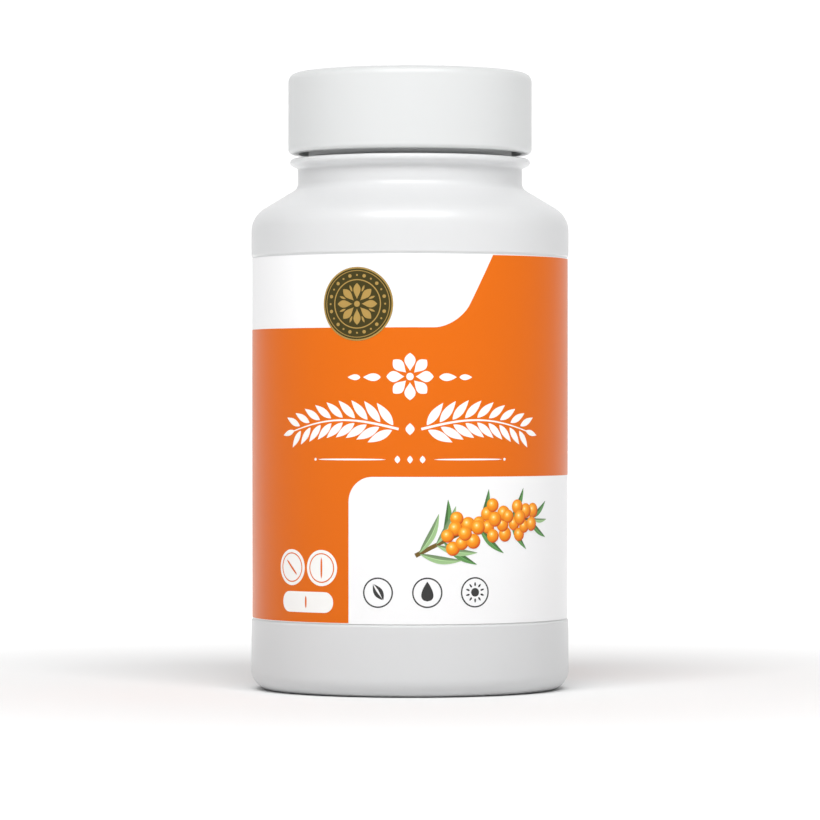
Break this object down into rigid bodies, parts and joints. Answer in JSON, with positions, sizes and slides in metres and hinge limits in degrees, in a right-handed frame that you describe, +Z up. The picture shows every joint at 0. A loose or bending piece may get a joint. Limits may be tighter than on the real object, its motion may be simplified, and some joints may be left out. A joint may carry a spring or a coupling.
{
  "type": "tablet bottle",
  "caption": "Round white plastic tablet bottle with a wide screw neck, a plain-sided screw cap and a wrap-round label in a recessed panel.",
  "frame": {"origin": "centre of the flat ring that the bottle stands on", "axes": "+Z up along the bottle's axis, the middle of the label's front faces -Y"},
  "size_m": [0.055, 0.055, 0.1066],
  "materials": {
    "bottle_plastic": "smooth white polyethylene with a soft sheen",
    "label_film": "printed orange and white film under a gloss varnish",
    "cap_plastic": "smooth white polypropylene with a soft sheen",
    "liner_board": "dull white foam disc"
  },
  "bodies": {
    "bottle": {"bottle": "bottle_plastic", "label": "label_film"},
    "liner": {"cap_liner": "liner_board"},
    "cap": {"cap": "cap_plastic"}
  },
  "joints": [
    {"name": "cap_lift", "type": "slide", "parent": "bottle", "child": "liner", "axis": [0, 0, 1], "range_m": [0, 0.00424]},
    {"name": "cap_turn", "type": "hinge", "parent": "liner", "child": "cap", "pos_m": [0, 0, 0.1], "axis": [0, 0, 1], "range_deg": [0, 360]}
  ],
  "couplings": [
    {"joint": "cap_lift", "follows": "cap_turn", "m_per_rad": 0.0006737}
  ]
}
